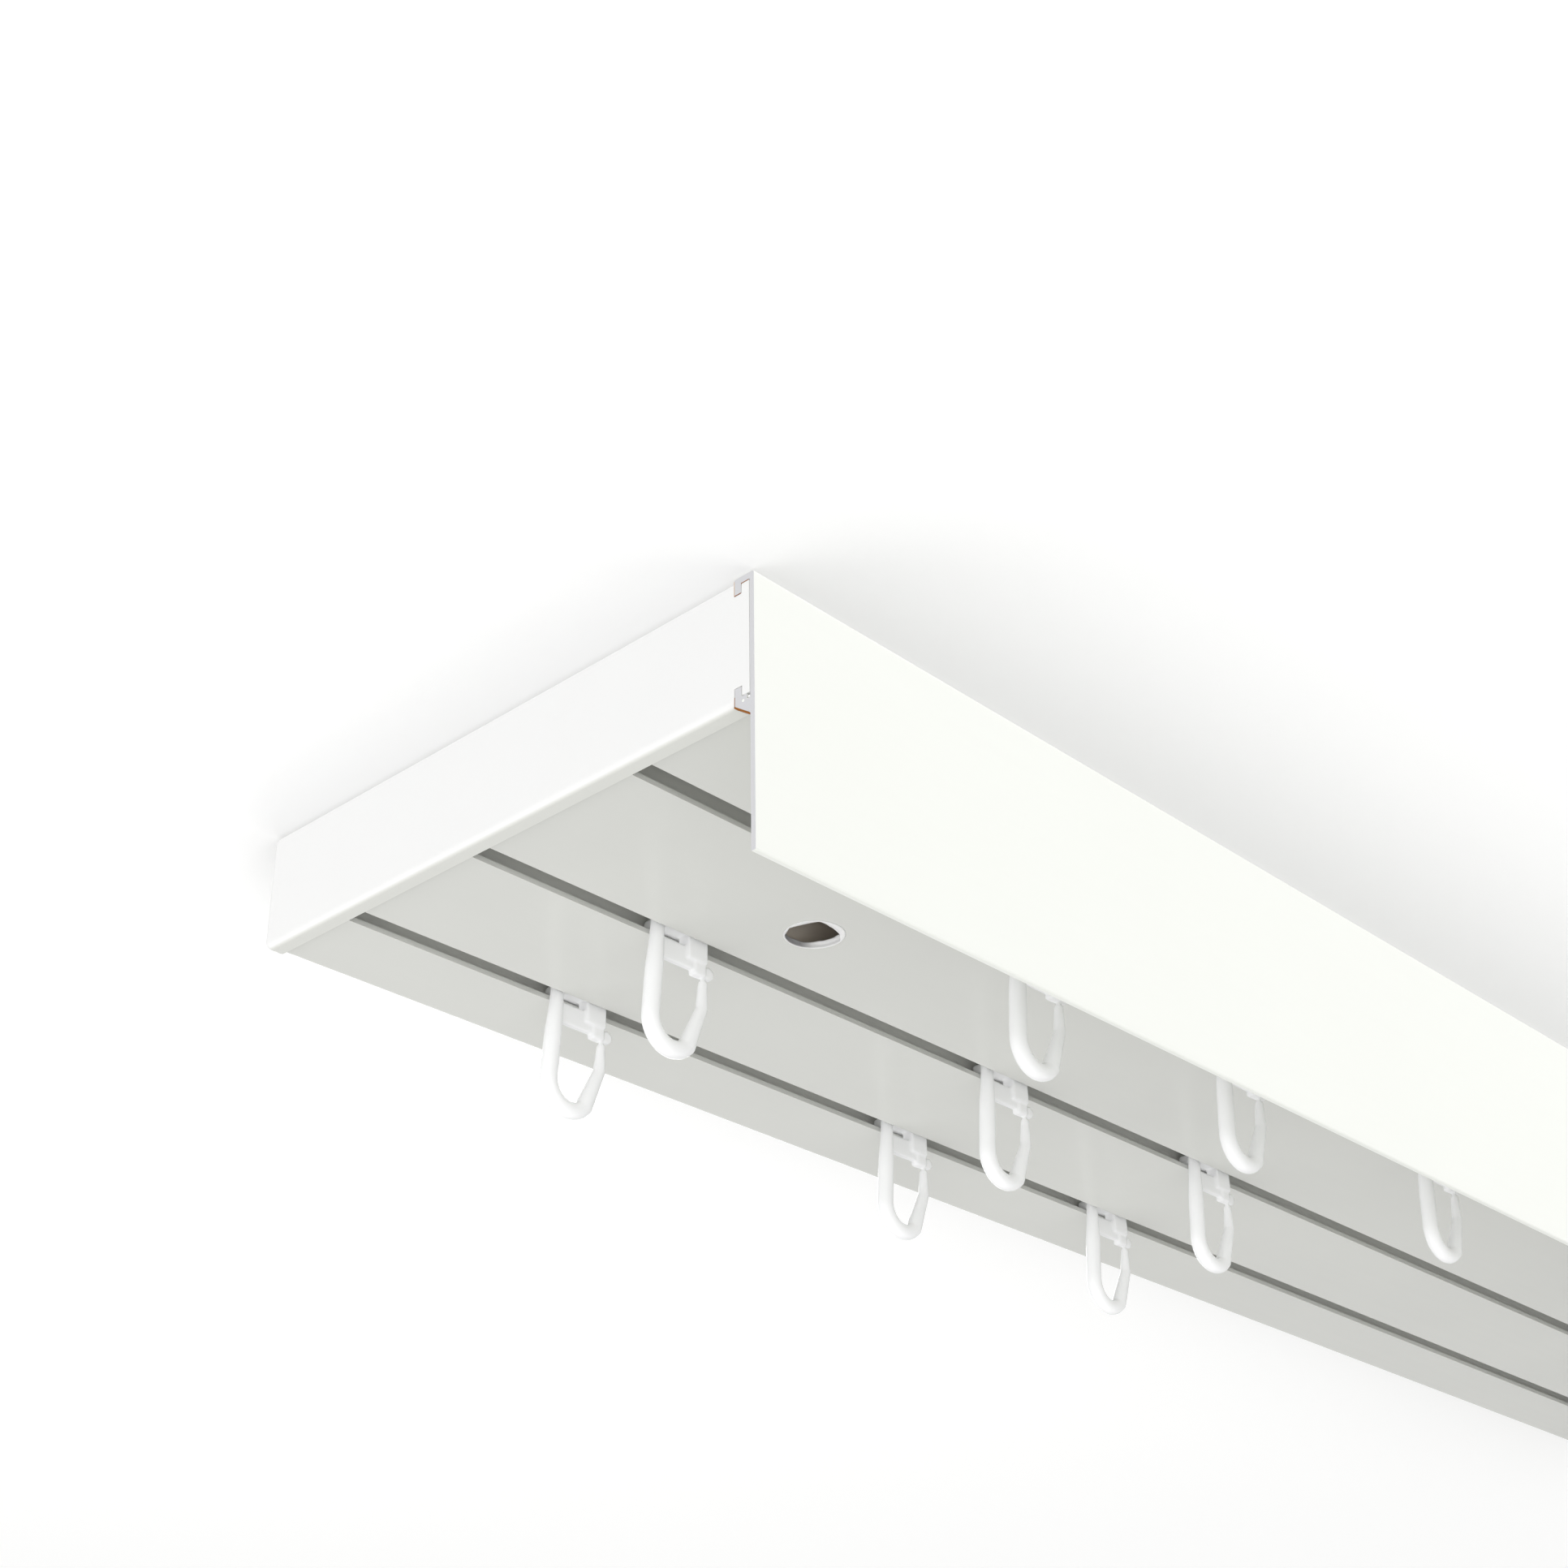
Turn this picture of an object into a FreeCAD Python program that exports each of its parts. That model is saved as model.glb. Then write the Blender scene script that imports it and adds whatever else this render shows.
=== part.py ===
import FreeCAD, Part
import math
import os
from types import SimpleNamespace

import Sketcher

# Three-run ceiling curtain track with a clip-on front fascia, plug-in end caps and one-piece gliders.
# Millimetres. The rail, the fascia and the caps are drawn in the section frame: X along the track,
# Y from the fascia's front face towards the rear, Z up from the ceiling. The gliders are drawn about
# the point where they leave the slot. The placements then bring the origin to the middle of the
# ceiling face.

SIZES = {
    "track_length": 600.0,
    # Fascia strip
    "fascia_height": 50.0,
    "fascia_wall": 0.9,
    "fascia_edge_radius": 0.3,
    "flange_thickness": 1.2,
    "flange_reach": 4.2,
    "clip_lip": 1.4,
    "flange_lip_drop": 3.0,
    "hook_seat": 0.2,
    "hook_lip": 1.8,
    "hook_step": 0.9,
    "hook_step_width": 0.8,
    "hook_heel": 1.3,
    "hook_foot": 3.7,
    "clip_clearance": 0.15,
    # Rail extrusion
    "rail_height": 22.5,
    "rail_edge_radius": 0.4,
    "top_wall": 1.2,
    "base_wall": 1.0,
    "outer_wall": 1.2,
    "web": 1.0,
    "nose_arm": 1.2,
    "front_run": 29.6,
    "middle_pitch": 39.9,
    "rear_pitch": 34.1,
    "rear_margin": 21.1,
    "slot_width": 4.6,
    "channel_width": 11.0,
    "channel_height": 7.0,
    "screw_shift": 1.05,
    "screw_chamber": 15.0,
    "screw_hole": 4.5,
    "access_hole": 11.0,
    "screw_from_end": 67.9,
    "screw_count": 2,
    # End caps
    "cap_plate": 1.8,
    "cap_overhang": 0.8,
    "cap_top_drop": 0.2,
    "cap_corner_radius": 1.6,
    "cap_edge_radius": 1.2,
    "skirt_length": 1.7,
    "skirt_clearance": 0.1,
    "tongue_length": 10.0,
    "tongue_wall": 1.2,
    "tongue_clearance": 0.2,
    # Gliders
    "shoe_length": 13.2,
    "shoe_offset": 0.8,
    "shoe_width": 9.6,
    "shoe_thickness": 2.4,
    "shoe_chamfer": 0.8,
    "glide_clearance": 0.3,
    "neck_offset": 4.5,
    "neck_length": 5.0,
    "neck_width": 3.0,
    "neck_drop": 3.6,
    "web_plate": 1.4,
    "web_top_drop": 1.0,
    "web_low_drop": 5.2,
    "lug_drop": 6.0,
    "lug_width": 3.0,
    "nub_diameter": 2.6,
    "nub_offset": 8.0,
    "nub_drop": 4.8,
    "hook_diameter": 3.3,
    "leg_top_diameter": 2.8,
    "hook_lean": 4.5,
    "bend_radius": 5.2,
    "bend_offset": 0.9,
    "bend_drop": 17.1,
    "bend_end": 46.0,
    "rise_lean": 24.0,
    "rise_top_drop": 12.2,
    "rise_diameter": 2.3,
    "tip_lean": 3.0,
    "tip_gap": 0.7,
    "tip_diameter": 1.6,
}

# Where each glider hangs, as a share of the track's length from its near end.
STATIONS = {
    "rear": (0.0953, 0.2545, 0.376, 0.7867, 0.8367, 0.8867, 0.9367),
    "middle": (0.085, 0.2422, 0.3643, 0.6867, 0.7533, 0.82, 0.8867),
    "front": (0.176, 0.2867, 0.4162, 0.575, 0.7, 0.825),
}

X_AXIS = FreeCAD.Vector(1, 0, 0)
Y_AXIS = FreeCAD.Vector(0, 1, 0)
QUARTER_TURN = 90
NEAR = 1e-4


class Dim:
    """A size with its value and the sheet expression that it comes from."""

    def __init__(self, value, text):
        self.value = value
        self.text = text

    def __add__(self, other):
        other = as_dim(other)
        return Dim(self.value + other.value, f"({self.text} + {other.text})")

    def __sub__(self, other):
        other = as_dim(other)
        return Dim(self.value - other.value, f"({self.text} - {other.text})")

    def __mul__(self, other):
        other = as_dim(other)
        return Dim(self.value * other.value, f"({self.text} * {other.text})")

    def __truediv__(self, other):
        other = as_dim(other)
        return Dim(self.value / other.value, f"({self.text} / {other.text})")

    def __neg__(self):
        return Dim(-self.value, f"(-1 * {self.text})")


def as_dim(number):
    """Give a plain number the form of a size."""
    return number if isinstance(number, Dim) else Dim(float(number), repr(float(number)))


def sine(angle):
    """Sine of an angle in degrees."""
    return Dim(math.sin(math.radians(angle.value)), f"sin({angle.text})")


def cosine(angle):
    """Cosine of an angle in degrees."""
    return Dim(math.cos(math.radians(angle.value)), f"cos({angle.text})")


def tangent(angle):
    """Tangent of an angle in degrees."""
    return Dim(math.tan(math.radians(angle.value)), f"tan({angle.text})")


def station_name(run, number):
    """Name of the size that places one glider."""
    return f"{run}_station_{number}"


def fill_sheet(document):
    """Write every driving size to the spreadsheet and return the sizes by name."""
    values = dict(SIZES)
    for run, stations in STATIONS.items():
        for number, station in enumerate(stations, start=1):
            values[station_name(run, number)] = station
    sheet = document.addObject("Spreadsheet::Sheet", "Sizes")
    for row, (name, value) in enumerate(values.items(), start=1):
        sheet.set(f"A{row}", name)
        sheet.set(f"B{row}", str(value))
        sheet.setAlias(f"B{row}", name)
    document.recompute()
    sizes = {name: Dim(float(value), f"Sizes.{name}") for name, value in values.items()}
    return SimpleNamespace(**sizes)


def bind(target, path, size):
    """Tie one property of an object to the sheet."""
    target.setExpression(path, size.text)


def origin_plane(body, role):
    """Find one of a body's own origin planes."""
    return next(plane for plane in body.Origin.OriginFeatures if plane.Role == role)


def new_sketch(body, name, role, offset=None):
    """Start a sketch on an origin plane, lifted along the plane's normal if an offset is given."""
    sketch = body.newObject("Sketcher::SketchObject", name)
    sketch.AttachmentSupport = [(origin_plane(body, role), "")]
    sketch.MapMode = "FlatFace"
    if offset is not None:
        bind(sketch, "AttachmentOffset.Base.z", offset)
    return sketch


def draw_loop(sketch, corners):
    """Draw one closed outline whose corners are all placed by named sizes."""
    first = sketch.GeometryCount
    count = len(corners)
    points = [FreeCAD.Vector(across.value, up.value, 0) for across, up in corners]
    lines = [Part.LineSegment(points[k], points[(k + 1) % count]) for k in range(count)]
    sketch.addGeometry(lines, False)
    following = [first + (k + 1) % count for k in range(count)]
    sketch.addConstraint(
        [Sketcher.Constraint("Coincident", first + k, 2, following[k], 1) for k in range(count)]
    )
    dimensions = []
    for k, (across, up) in enumerate(corners):
        dimensions += point_dimensions(first + k, 1, across, up)
    add_dimensions(sketch, dimensions)


def point_dimensions(geometry, vertex, across, up):
    """Dimensions that hold one point of a sketch at named distances from the sketch's origin."""
    sideways = Sketcher.Constraint("DistanceX", -1, 1, geometry, vertex, across.value)
    upwards = Sketcher.Constraint("DistanceY", -1, 1, geometry, vertex, up.value)
    return [(sideways, f"Across{geometry}", across), (upwards, f"Up{geometry}", up)]


def add_dimensions(sketch, dimensions):
    """Add named dimensions to a sketch and tie each to the sheet."""
    first = sketch.ConstraintCount
    sketch.addConstraint([constraint for constraint, _, _ in dimensions])
    for index, (_, label, size) in enumerate(dimensions, start=first):
        sketch.renameConstraint(index, label)
        bind(sketch, f"Constraints.{label}", size)


def draw_circle(sketch, across, up, diameter):
    """Draw one circle whose centre and diameter are named sizes."""
    centre = FreeCAD.Vector(across.value, up.value, 0)
    outline = Part.Circle(centre, FreeCAD.Vector(0, 0, 1), diameter.value / 2)
    circle = sketch.addGeometry(outline, False)
    width = (Sketcher.Constraint("Diameter", circle, diameter.value), f"Width{circle}", diameter)
    add_dimensions(sketch, point_dimensions(circle, 3, across, up) + [width])


def rectangle(left, right, low, high):
    """Corners of a rectangle from its four sides."""
    return [(left, low), (right, low), (right, high), (left, high)]


def pad(body, name, sketch, length, symmetric=False):
    """Extrude a sketch along its normal, or to both sides of its plane."""
    feature = body.newObject("PartDesign::Pad", name)
    feature.Profile = sketch
    feature.SideType = "Symmetric" if symmetric else "One side"
    bind(feature, "Length", length)
    return feature


def pocket(body, name, sketch, depth, upward=False):
    """Cut a sketch into the body, against its normal unless upward."""
    feature = body.newObject("PartDesign::Pocket", name)
    feature.Profile = sketch
    feature.Type = "Length"
    feature.Reversed = upward
    bind(feature, "Length", depth)
    return feature


def place_in_track(body, d, along):
    """Put a body that is drawn in the section frame into the track's own frame."""
    bind(body, "Placement.Base.x", along)
    bind(body, "Placement.Base.y", -section_centre(d))


def rail_front(d):
    """Front face of the rail's box, behind the fascia's lips."""
    return d.flange_reach + d.clip_clearance


def run_lines(d):
    """Centre line of each run, from the fascia's front face."""
    middle = d.front_run + d.middle_pitch
    return {"front": d.front_run, "middle": middle, "rear": middle + d.rear_pitch}


def rail_rear(d):
    """Rear face of the rail, behind the last run."""
    return run_lines(d)["rear"] + d.rear_margin


def section_centre(d):
    """Middle of the ceiling face, from the fascia's front face."""
    return (rail_front(d) + rail_rear(d)) / 2


def screw_line(d):
    """Centre line of the ceiling screws, a little behind the middle between the front two runs."""
    return d.front_run + d.middle_pitch / 2 + d.screw_shift


def hook_floor(d):
    """Floor of the fascia's hook, a little above the rail's underside."""
    return -(d.rail_height - d.hook_seat)


def nose_span(d):
    """Front and back of the rail's nose, between the fascia's wall and its lips."""
    return d.fascia_wall + d.clip_clearance, d.flange_reach - d.clip_lip - d.clip_clearance


def chamber_spans(d):
    """Front and back of each hollow chamber that is as high as the rail."""
    side = d.channel_width / 2 + d.web
    runs = run_lines(d)
    screws_front = screw_line(d) - d.screw_chamber / 2
    screws_back = screw_line(d) + d.screw_chamber / 2
    return {
        "Front": (rail_front(d) + d.outer_wall, runs["front"] - side),
        "BeforeScrews": (runs["front"] + side, screws_front - d.web),
        "Screws": (screws_front, screws_back),
        "BehindScrews": (screws_back + d.web, runs["middle"] - side),
        "Middle": (runs["middle"] + side, runs["rear"] - side),
        "Rear": (runs["rear"] + side, rail_rear(d) - d.outer_wall),
    }


def rail_outline(d):
    """Outer line of the rail's section, with the clip nose and the three channels."""
    top = as_dim(0)
    under = -d.rail_height
    front = rail_front(d)
    nose_front, nose_back = nose_span(d)
    nose_top = -(d.flange_thickness + d.clip_clearance)
    nose_low = hook_floor(d) + d.clip_clearance
    upper_arm = -(d.flange_lip_drop + d.clip_clearance)
    lower_arm = nose_low + d.hook_lip
    corners = [
        (front, top),
        (front, upper_arm),
        (nose_back, upper_arm),
        (nose_back, nose_top),
        (nose_front, nose_top),
        (nose_front, nose_low),
        (nose_back, nose_low),
        (nose_back, lower_arm),
        (front, lower_arm),
        (front, under),
    ]
    floor = under + d.base_wall
    roof = floor + d.channel_height
    for line in run_lines(d).values():
        slot = d.slot_width / 2
        channel = d.channel_width / 2
        corners += [
            (line - slot, under),
            (line - slot, floor),
            (line - channel, floor),
            (line - channel, roof),
            (line + channel, roof),
            (line + channel, floor),
            (line + slot, floor),
            (line + slot, under),
        ]
    corners += [(rail_rear(d), under), (rail_rear(d), top)]
    return corners


def rail_nose_chamber(d):
    """Hollow between the rail's nose, its arms and its front wall."""
    _, nose_back = nose_span(d)
    high = -(d.flange_lip_drop + d.clip_clearance + d.nose_arm)
    low = hook_floor(d) + d.clip_clearance + d.hook_lip + d.nose_arm
    return rectangle(nose_back, rail_front(d), low, high)


def long_edges(shape, spots):
    """Names of the straight edges along X that pass through the given section points."""
    names = []
    for number, edge in enumerate(shape.Edges, start=1):
        box = edge.BoundBox
        if box.XLength < NEAR or box.YLength > NEAR or box.ZLength > NEAR:
            continue
        if any(abs(box.YMin - y) < NEAR and abs(box.ZMin - z) < NEAR for y, z in spots):
            names.append(f"Edge{number}")
    return names


def round_long_edges(body, name, base, spots, radius):
    """Fillet the edges along X that pass through the given section points."""
    body.Document.recompute()
    feature = body.newObject("PartDesign::Fillet", name)
    feature.Base = (base, long_edges(base.Shape, [(y.value, z.value) for y, z in spots]))
    bind(feature, "Radius", radius)
    return feature


def make_rail(document, d):
    """Hollow-chamber extrusion with three glider channels and a nose for the fascia."""
    body = document.addObject("PartDesign::Body", "Rail")
    body.Label = "rail"
    length = d.track_length - d.cap_plate * 2
    section = new_sketch(body, "RailSection", "YZ_Plane")
    draw_loop(section, rail_outline(d))
    chamber_low = d.base_wall - d.rail_height
    for front, back in chamber_spans(d).values():
        draw_loop(section, rectangle(front, back, chamber_low, -d.top_wall))
    roof_top = chamber_low + d.channel_height + d.web
    channel = d.channel_width / 2
    for line in run_lines(d).values():
        draw_loop(section, rectangle(line - channel, line + channel, roof_top, -d.top_wall))
    draw_loop(section, rail_nose_chamber(d))
    extrusion = pad(body, "RailExtrusion", section, length)
    rear_corners = [(rail_rear(d), -d.rail_height), (rail_rear(d), as_dim(0))]
    round_long_edges(body, "RailRearEdges", extrusion, rear_corners, d.rail_edge_radius)
    drill_screw_line(document, body, d)
    place_in_track(body, d, d.cap_plate - d.track_length / 2)
    return body


def drill_screw_line(document, body, d):
    """Access holes through the underside and screw holes through the top wall, in one row."""
    first = d.screw_from_end - d.cap_plate
    through = d.base_wall * 2
    access_sketch = new_sketch(body, "AccessHoleSketch", "XY_Plane", -d.rail_height)
    draw_circle(access_sketch, first, screw_line(d), d.access_hole)
    access = pocket(body, "AccessHole", access_sketch, through, upward=True)
    screw_sketch = new_sketch(body, "ScrewHoleSketch", "XY_Plane")
    draw_circle(screw_sketch, first, screw_line(d), d.screw_hole)
    screw = pocket(body, "ScrewHole", screw_sketch, d.top_wall * 2)
    document.recompute()
    row = body.newObject("PartDesign::LinearPattern", "ScrewRow")
    row.Originals = [access, screw]
    row.Direction = (screw_sketch, ["H_Axis"])
    bind(row, "Length", d.track_length - d.screw_from_end * 2)
    bind(row, "Occurrences", d.screw_count)
    body.Tip = row


def fascia_outline(d):
    """Section of the fascia: wall, lipped flange and barbed hook."""
    inner = d.fascia_wall
    lip_front = d.flange_reach - d.clip_lip
    lip_back = d.flange_reach
    step_back = inner + d.hook_step_width
    floor = hook_floor(d)
    step_floor = floor - d.hook_step
    top = as_dim(0)
    face = as_dim(0)
    return [
        (face, top),
        (face, -d.fascia_height),
        (inner, -d.fascia_height),
        (inner, floor - d.hook_foot),
        (lip_back, floor - d.hook_heel),
        (lip_back, floor + d.hook_lip),
        (lip_front, floor + d.hook_lip),
        (lip_front, floor),
        (step_back, floor),
        (step_back, step_floor),
        (inner, step_floor),
        (inner, -d.flange_thickness),
        (lip_front, -d.flange_thickness),
        (lip_front, -d.flange_lip_drop),
        (lip_back, -d.flange_lip_drop),
        (lip_back, top),
    ]


def make_fascia(document, d):
    """Clip-on front strip, as long as the track with its caps."""
    body = document.addObject("PartDesign::Body", "Fascia")
    body.Label = "fascia"
    section = new_sketch(body, "FasciaSection", "YZ_Plane")
    draw_loop(section, fascia_outline(d))
    strip = pad(body, "FasciaStrip", section, d.track_length)
    face_corners = [(as_dim(0), as_dim(0)), (as_dim(0), -d.fascia_height)]
    round_long_edges(body, "FasciaFaceEdges", strip, face_corners, d.fascia_edge_radius)
    place_in_track(body, d, -d.track_length / 2)
    return body


def cap_limits(d):
    """Rear, low and high sides of the cap's plate."""
    rear = rail_rear(d) + d.cap_overhang
    low = -(d.rail_height + d.cap_overhang)
    return rear, low, -d.cap_top_drop


def cap_outline(d):
    """Outline of the cap's plate, with the tab that closes the fascia's channel."""
    rear, low, high = cap_limits(d)
    front = rail_front(d)
    tab_front, tab_back = nose_span(d)
    tab_top = -(d.flange_thickness + d.clip_clearance)
    tab_low = hook_floor(d) + d.clip_clearance
    upper = -(d.flange_lip_drop + d.clip_clearance)
    lower = tab_low + d.hook_lip
    return [
        (front, high),
        (front, upper),
        (tab_back, upper),
        (tab_back, tab_top),
        (tab_front, tab_top),
        (tab_front, tab_low),
        (tab_back, tab_low),
        (tab_back, lower),
        (front, lower),
        (front, low),
        (rear, low),
        (rear, high),
    ]


def skirt_outline(d):
    """Section of the skirt that wraps the rail's underside and rear."""
    rear, low, high = cap_limits(d)
    inner_rear = rail_rear(d) + d.skirt_clearance
    inner_low = -(d.rail_height + d.skirt_clearance)
    return [
        (rail_front(d), low),
        (rear, low),
        (rear, high),
        (inner_rear, high),
        (inner_rear, inner_low),
        (rail_front(d), inner_low),
    ]


def cap_face_edges(shape, front):
    """Names of the outer face's edges behind the fascia, where the cap's rim is rounded."""
    names = []
    for number, edge in enumerate(shape.Edges, start=1):
        box = edge.BoundBox
        if box.XLength < NEAR and abs(box.XMin) < NEAR and box.YMax > front + NEAR:
            names.append(f"Edge{number}")
    return names


def make_end_cap(document, d):
    """Moulded cap with a rounded plate, a skirt and four hollow tongues."""
    body = document.addObject("PartDesign::Body", "EndCapLeft")
    body.Label = "end_cap_left"
    plate_sketch = new_sketch(body, "CapPlateSketch", "YZ_Plane")
    draw_loop(plate_sketch, cap_outline(d))
    pad(body, "CapPlate", plate_sketch, d.cap_plate)
    skirt_sketch = new_sketch(body, "CapSkirtSketch", "YZ_Plane")
    draw_loop(skirt_sketch, skirt_outline(d))
    skirt = pad(body, "CapSkirt", skirt_sketch, d.cap_plate + d.skirt_length)
    rear, low, high = cap_limits(d)
    rear_corners = [(rear, low), (rear, high)]
    corners = round_long_edges(body, "CapCorners", skirt, rear_corners, d.cap_corner_radius)
    document.recompute()
    rim = body.newObject("PartDesign::Fillet", "CapRim")
    rim.Base = (corners, cap_face_edges(corners.Shape, rail_front(d).value))
    bind(rim, "Radius", d.cap_edge_radius)
    for name in ("Front", "Screws", "Middle", "Rear"):
        add_tongue(body, name, d)
    place_in_track(body, d, -d.track_length / 2)
    return body


def add_tongue(body, name, d):
    """Hollow tongue that plugs into one of the rail's chambers."""
    front, back = chamber_spans(d)[name]
    low = d.base_wall - d.rail_height + d.tongue_clearance
    high = -(d.top_wall + d.tongue_clearance)
    front = front + d.tongue_clearance
    back = back - d.tongue_clearance
    wall = d.tongue_wall
    sketch = new_sketch(body, f"Tongue{name}Sketch", "YZ_Plane")
    draw_loop(sketch, rectangle(front, back, low, high))
    draw_loop(sketch, rectangle(front + wall, back - wall, low + wall, high - wall))
    pad(body, f"Tongue{name}", sketch, d.cap_plate + d.tongue_length)


def make_far_cap(document, near_cap):
    """The other hand of the cap, mirrored about the middle of the track."""
    cap = document.addObject("Part::Mirroring", "EndCapRight")
    cap.Label = "end_cap_right"
    cap.Source = near_cap
    cap.Normal = X_AXIS
    cap.Base = FreeCAD.Vector(0, 0, 0)
    return cap


def shoe_outline(d):
    """Side view of the shoe, chamfered at both ends so that it runs over joints."""
    left = d.shoe_offset - d.shoe_length / 2
    right = d.shoe_offset + d.shoe_length / 2
    low = d.base_wall + d.glide_clearance
    high = low + d.shoe_thickness
    cut = d.shoe_chamfer
    return [
        (left + cut, low),
        (right - cut, low),
        (right, low + cut),
        (right, high - cut),
        (right - cut, high),
        (left + cut, high),
        (left, high - cut),
        (left, low + cut),
    ]


def bend_point(d, angle):
    """Point of the hook's bend at an angle from its lowest point."""
    across = d.bend_radius * sine(angle) - d.bend_offset
    up = -(d.bend_drop + d.bend_radius * cosine(angle))
    return across, up


def add_rod(body, name, foot, lean, length, diameters):
    """Round rod from a foot in the loop's plane, leaning towards +X, with a diameter at each end."""
    rod = body.newObject("PartDesign::AdditiveCone", name)
    rod.AttachmentSupport = [(origin_plane(body, "XY_Plane"), "")]
    rod.MapMode = "FlatFace"
    rod.AttachmentOffset = FreeCAD.Placement(FreeCAD.Vector(), FreeCAD.Rotation(Y_AXIS, lean.value))
    bind(rod, "AttachmentOffset.Rotation.Angle", lean)
    bind(rod, "AttachmentOffset.Base.x", foot[0])
    bind(rod, "AttachmentOffset.Base.z", foot[1])
    bind(rod, "Radius1", diameters[0] / 2)
    bind(rod, "Radius2", diameters[1] / 2)
    bind(rod, "Height", length)
    return rod


def add_ball(body, name, centre, diameter):
    """Ball that rounds the corner between two rods."""
    ball = body.newObject("PartDesign::AdditiveSphere", name)
    ball.AttachmentSupport = [(origin_plane(body, "XY_Plane"), "")]
    ball.MapMode = "FlatFace"
    bind(ball, "AttachmentOffset.Base.x", centre[0])
    bind(ball, "AttachmentOffset.Base.z", centre[1])
    bind(ball, "Radius", diameter / 2)
    return ball


def add_hook(body, d):
    """Leg, round bend, rising leg and pointed tip of the hook that carries the curtain."""
    lean = d.hook_lean
    leg_foot = bend_point(d, -lean - QUARTER_TURN)
    shoe_low = d.base_wall + d.glide_clearance
    leg_length = (shoe_low + d.shoe_thickness / 2 - leg_foot[1]) / cosine(lean)
    add_rod(body, "Leg", leg_foot, lean, leg_length, (d.hook_diameter, d.leg_top_diameter))

    section = body.newObject("Sketcher::SketchObject", "BendSketch")
    section.AttachmentSupport = [(origin_plane(body, "XY_Plane"), "")]
    section.MapMode = "FlatFace"
    section.AttachmentOffset = FreeCAD.Placement(FreeCAD.Vector(), FreeCAD.Rotation(Y_AXIS, lean.value))
    bind(section, "AttachmentOffset.Rotation.Angle", lean)
    bind(section, "AttachmentOffset.Base.x", -d.bend_offset)
    bind(section, "AttachmentOffset.Base.z", -d.bend_drop)
    draw_circle(section, -d.bend_radius, as_dim(0), d.hook_diameter)
    bend = body.newObject("PartDesign::Revolution", "Bend")
    bend.Profile = section
    bend.ReferenceAxis = (section, ["V_Axis"])
    bend.Reversed = True
    bind(bend, "Angle", d.bend_end + QUARTER_TURN + lean)

    rise_foot = bend_point(d, d.bend_end)
    rise = -d.rise_top_drop - rise_foot[1]
    rise_top = (rise_foot[0] + rise * tangent(d.rise_lean), -d.rise_top_drop)
    add_ball(body, "BendCorner", rise_foot, d.hook_diameter)
    rise_length = rise / cosine(d.rise_lean)
    add_rod(body, "Rise", rise_foot, d.rise_lean, rise_length, (d.hook_diameter, d.rise_diameter))
    add_ball(body, "RiseCorner", rise_top, d.rise_diameter)
    tip_length = (d.rise_top_drop - d.lug_drop - d.tip_gap) / cosine(d.tip_lean)
    add_rod(body, "Tip", rise_top, d.tip_lean, tip_length, (d.rise_diameter, d.tip_diameter))


def web_outline(d):
    """Side view of the plate that ties the leg to the neck, with the lug over the hook's tip."""
    neck_left = d.neck_offset - d.neck_length / 2
    neck_right = neck_left + d.neck_length
    lug_left = neck_right - d.lug_width
    leg_side = -d.neck_offset
    return [
        (leg_side, -d.web_low_drop),
        (lug_left, -d.web_low_drop),
        (lug_left, -d.lug_drop),
        (neck_right, -d.lug_drop),
        (neck_right, -d.web_top_drop),
        (leg_side, -d.web_top_drop),
    ]


def make_moulding(document, d):
    """The glider as one moulding of shoe, neck, web plate, lug and hook, about the slot's underside."""
    body = document.addObject("PartDesign::Body", "GliderMoulding")
    shoe_sketch = new_sketch(body, "ShoeSketch", "XZ_Plane")
    draw_loop(shoe_sketch, shoe_outline(d))
    pad(body, "Shoe", shoe_sketch, d.shoe_width, symmetric=True)
    neck_sketch = new_sketch(body, "NeckSketch", "XZ_Plane")
    neck_left = d.neck_offset - d.neck_length / 2
    neck_right = d.neck_offset + d.neck_length / 2
    neck_top = d.base_wall + d.glide_clearance + d.shoe_thickness / 2
    draw_loop(neck_sketch, rectangle(neck_left, neck_right, -d.neck_drop, neck_top))
    pad(body, "Neck", neck_sketch, d.neck_width, symmetric=True)
    web_sketch = new_sketch(body, "WebSketch", "XZ_Plane")
    draw_loop(web_sketch, web_outline(d))
    pad(body, "WebPlate", web_sketch, d.web_plate, symmetric=True)
    nub_sketch = new_sketch(body, "NubSketch", "XZ_Plane")
    draw_circle(nub_sketch, d.nub_offset, -d.nub_drop, d.nub_diameter)
    pad(body, "Nub", nub_sketch, d.web_plate, symmetric=True)
    add_hook(body, d)
    return body


def make_glider(document, d, moulding, run, number):
    """One glider from the common moulding, hung in its run at its station."""
    body = document.addObject("PartDesign::Body", f"{run.capitalize()}Glider{number}")
    body.Label = f"{run}_glider_{number}"
    body.BaseFeature = moulding
    station = getattr(d, station_name(run, number))
    bind(body, "Placement.Base.x", d.track_length * station - d.track_length / 2)
    bind(body, "Placement.Base.y", run_lines(d)[run] - section_centre(d))
    bind(body, "Placement.Base.z", -d.rail_height)
    return body


def check_document(document, parts):
    """Stop if any object failed or any sub-part has no sound solid."""
    for item in document.Objects:
        if "Invalid" in item.State or "Error" in item.State:
            raise RuntimeError(f"{item.Name} failed: {item.State}")
    for part in parts:
        shape = part.Shape
        if shape.isNull() or not shape.isValid() or len(shape.Solids) != 1:
            raise RuntimeError(f"{part.Label} has no single sound solid")


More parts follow.
